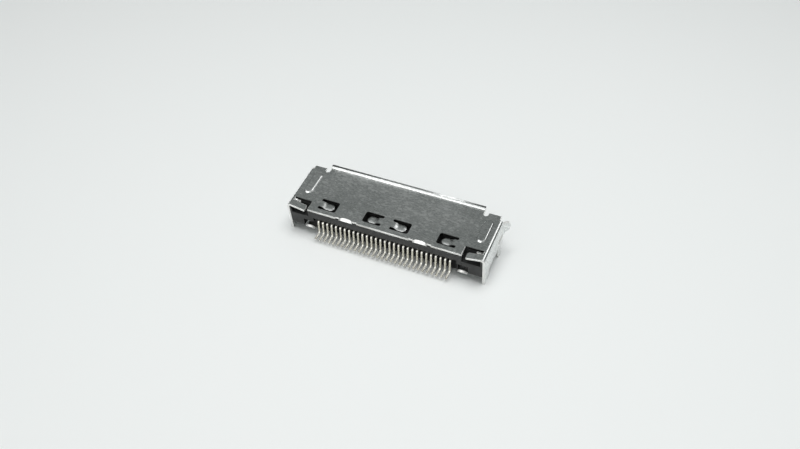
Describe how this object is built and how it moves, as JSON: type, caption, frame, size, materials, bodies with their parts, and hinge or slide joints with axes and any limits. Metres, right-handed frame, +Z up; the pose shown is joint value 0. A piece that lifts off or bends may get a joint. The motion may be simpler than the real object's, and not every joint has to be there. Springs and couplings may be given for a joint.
{
  "type": "wide board-mount receptacle connector",
  "caption": "Wide low board-mount receptacle: folded metal shell with tongues, flared mouth and board legs round a black insulator, with one row of gull-wing solder tails",
  "frame": {"origin": "middle of the part across the row, at the rear edge of the top plate, on the board's surface", "axes": "+X along the row of contacts, +Y towards the mouth that the plug enters, +Z up off the board"},
  "size_m": [0.0226, 0.0077, 0.0047],
  "materials": {
    "shell": "satin plated sheet with fine stains",
    "housing": "moulded matte black",
    "contact": "pale tin plating"
  },
  "bodies": {
    "root": {"shell": "shell", "housing": "housing", "contact_01": "contact", "contact_02": "contact", "contact_03": "contact", "contact_04": "contact", "contact_05": "contact", "contact_06": "contact", "contact_07": "contact", "contact_08": "contact", "contact_09": "contact", "contact_10": "contact", "contact_11": "contact", "contact_12": "contact", "contact_13": "contact", "contact_14": "contact", "contact_15": "contact", "contact_16": "contact", "contact_17": "contact", "contact_18": "contact", "contact_19": "contact", "contact_20": "contact", "contact_21": "contact", "contact_22": "contact", "contact_23": "contact", "contact_24": "contact", "contact_25": "contact", "contact_26": "contact", "contact_27": "contact", "contact_28": "contact", "contact_29": "contact", "contact_30": "contact"}
  },
  "joints": []
}
